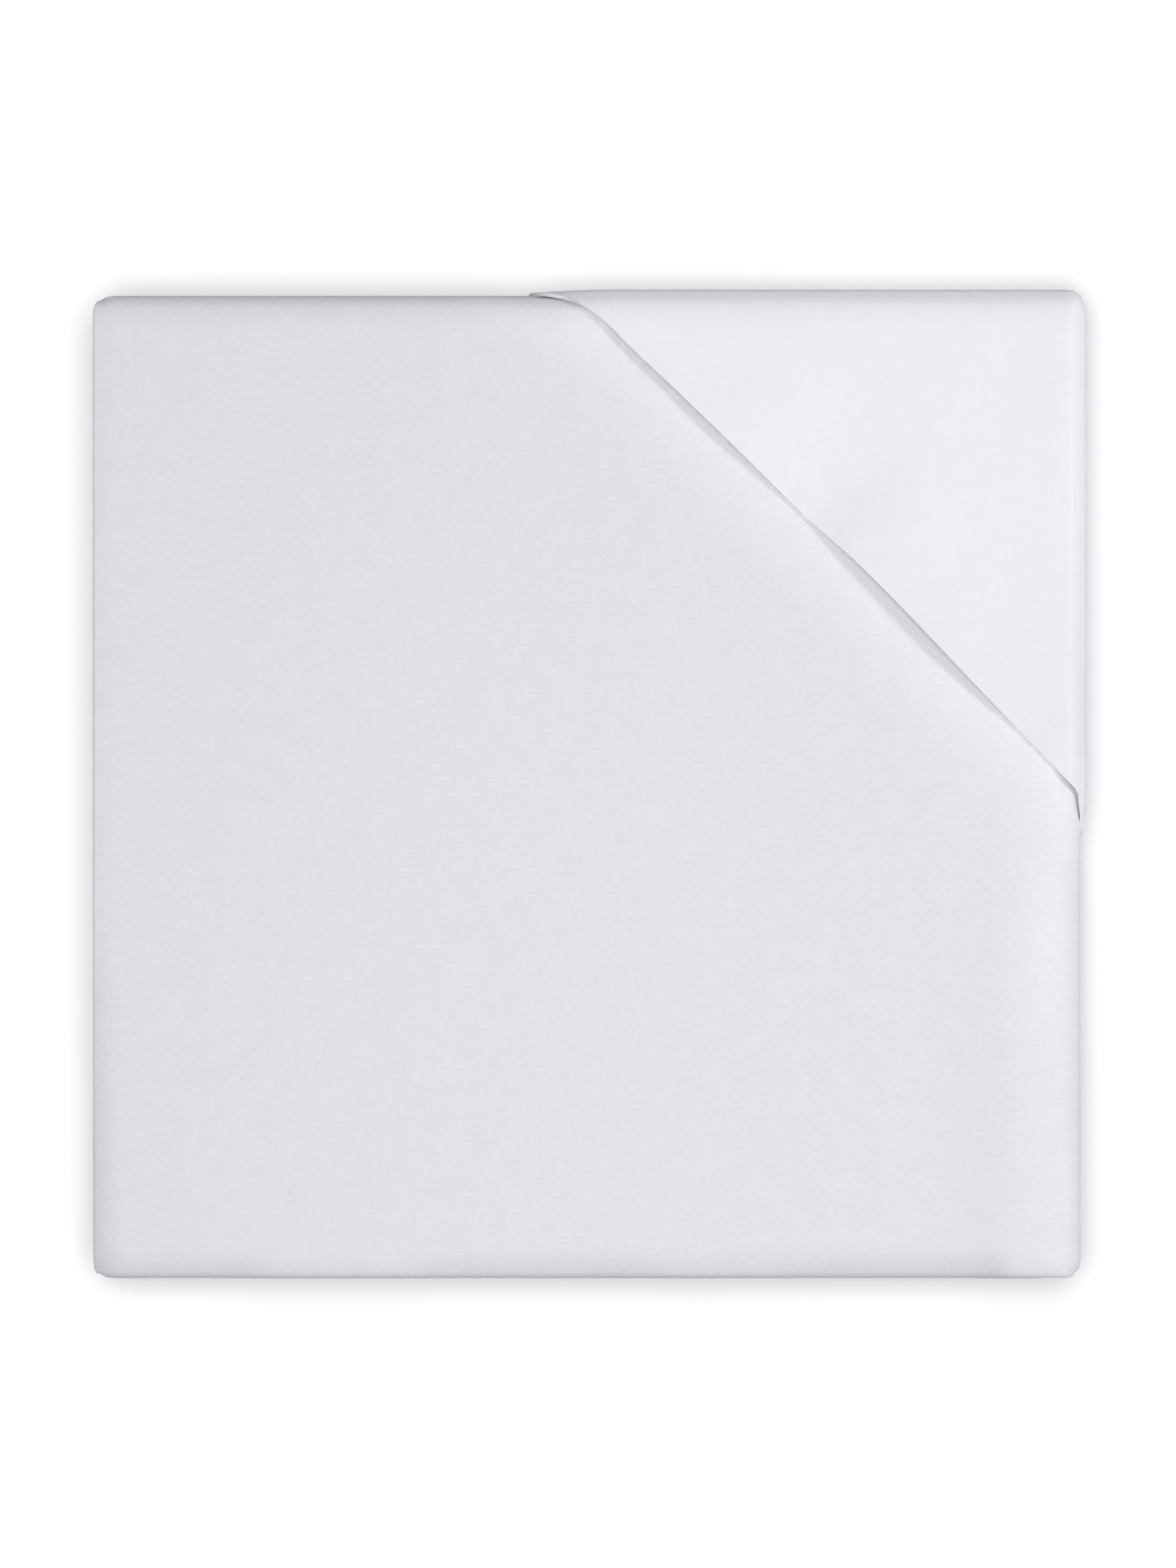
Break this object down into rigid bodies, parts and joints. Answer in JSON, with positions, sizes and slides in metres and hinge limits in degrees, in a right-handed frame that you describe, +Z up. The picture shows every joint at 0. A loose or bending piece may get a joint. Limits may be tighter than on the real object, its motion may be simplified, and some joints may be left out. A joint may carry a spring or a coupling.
{
  "type": "folded waterproof sheet",
  "caption": "Soft waterproof sheet folded to a flat square bundle, its corner pocket pulled over one corner to hold the folds shut.",
  "frame": {"origin": "centre of the bundle's flat underside", "axes": "+Z up through the plies, +X towards the wide fold, +Y towards the rounded back folds; the pocket is over the corner at +X and +Y"},
  "size_m": [0.2504, 0.2497, 0.0177],
  "materials": {
    "waterproof_cloth": "soft matte, finely brushed, with a thin waterproof backing inside"
  },
  "bodies": {
    "root": {"sheet": "waterproof_cloth"}
  },
  "joints": []
}
